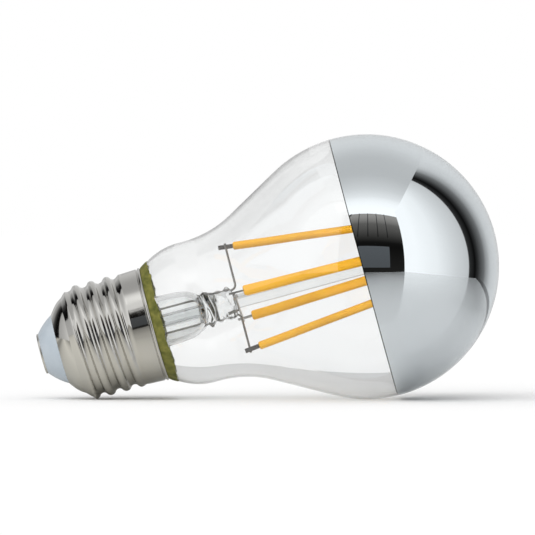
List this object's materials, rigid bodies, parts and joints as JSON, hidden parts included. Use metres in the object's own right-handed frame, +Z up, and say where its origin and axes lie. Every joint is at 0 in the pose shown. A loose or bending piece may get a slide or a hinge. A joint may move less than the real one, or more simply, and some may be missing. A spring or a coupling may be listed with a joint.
{
  "type": "mirror top bulb",
  "caption": "Clear round light bulb with a silvered crown, LED filaments on a glass stem and a nickel screw cap, lying on its side.",
  "frame": {"origin": "middle of the bulb's footprint, on the surface it lies on", "axes": "+Z up; +X level, towards the silvered crown; the lamp's own axis lies in the XZ plane and rises 15 degrees from +X, as the bulb rests on its globe and on its thread"},
  "size_m": [0.1048, 0.06, 0.06],
  "materials": {
    "nickel_plate": "polished nickel plate",
    "contact_metal": "tinned, satin",
    "insulator": "moulded, pale blue grey",
    "bulb_glass": "clear",
    "silvering": "silvered",
    "cement": "olive baking cement, dull and mottled",
    "stem_glass": "clear",
    "mount_wire": "drawn nickel wire",
    "phosphor": "amber phosphor in silicone",
    "tab_metal": "bare metal",
    "circuit_board": "green solder resist",
    "capacitor_can": "sleeved can",
    "black_moulding": "moulded epoxy",
    "resistor_lacquer": "lacquered",
    "red_insulation": "wire insulation",
    "white_insulation": "wire insulation"
  },
  "bodies": {
    "root": {"bridge_rectifier": "black_moulding", "cap_insulator": "insulator", "capping_cement": "cement", "driver_board": "circuit_board", "driver_chip": "black_moulding", "end_contact": "contact_metal", "exhaust_tube": "stem_glass", "filament_1": "phosphor", "filament_1_lower_tab": "tab_metal", "filament_1_upper_tab": "tab_metal", "filament_2": "phosphor", "filament_2_lower_tab": "tab_metal", "filament_2_upper_tab": "tab_metal", "filament_3": "phosphor", "filament_3_lower_tab": "tab_metal", "filament_3_upper_tab": "tab_metal", "filament_4": "phosphor", "filament_4_lower_tab": "tab_metal", "filament_4_upper_tab": "tab_metal", "fuse_resistor": "resistor_lacquer", "glass_bulb": "bulb_glass", "glass_stem": "stem_glass", "lead_wire_1": "mount_wire", "lead_wire_2": "mount_wire", "live_lead": "red_insulation", "lower_bridge_wire": "mount_wire", "mirror_coating": "silvering", "neutral_lead": "white_insulation", "screw_shell": "nickel_plate", "smoothing_capacitor": "capacitor_can", "support_rod": "stem_glass", "upper_bridge_wire_1": "mount_wire", "upper_bridge_wire_2": "mount_wire"}
  },
  "joints": []
}
